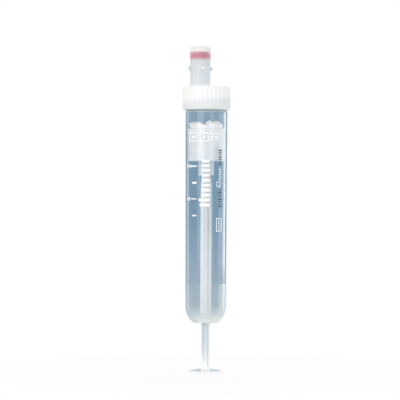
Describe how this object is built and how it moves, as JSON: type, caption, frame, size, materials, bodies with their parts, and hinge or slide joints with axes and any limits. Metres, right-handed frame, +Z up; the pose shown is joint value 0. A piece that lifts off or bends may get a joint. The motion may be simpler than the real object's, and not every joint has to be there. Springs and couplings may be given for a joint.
{
  "type": "blood collection tube",
  "caption": "Clear syringe-type blood tube with a ribbed screw cap, off-centre membrane nozzle, piston on a pull rod with a thumb disc, and clot granules.",
  "frame": {"origin": "on the tube's axis, at the thumb disc's outer face, on which it stands", "axes": "+Z up along the tube's axis towards the nozzle, -Y towards the printed scale, +X to the right of the scale"},
  "size_m": [0.0186, 0.0186, 0.1264],
  "materials": {
    "clear_plastic": "clear moulded, matt at the low end",
    "cap_plastic": "milky white, satin",
    "pink_rubber": "smooth pink-red rubber",
    "piston_plastic": "natural white, satin",
    "rod_plastic": "natural white, slightly see-through",
    "granule_plastic": "white, dry",
    "print_white": "white ink",
    "print_black": "black ink"
  },
  "bodies": {
    "barrel": {"tube": "clear_plastic"},
    "cap": {"screw_cap": "cap_plastic", "membrane": "pink_rubber"},
    "plunger": {"piston": "piston_plastic", "plunger_rod": "rod_plastic", "clot_granules": "granule_plastic"}
  },
  "joints": [
    {"name": "plunger_pull", "type": "slide", "parent": "plunger", "child": "barrel", "axis": [0, 0, 1], "range_m": [-0.0025, 0.0562]},
    {"name": "cap_turn", "type": "hinge", "parent": "barrel", "child": "cap", "pos_m": [0, 0, 0.10975], "axis": [0, 0, 1], "range_deg": [0, 540]}
  ]
}
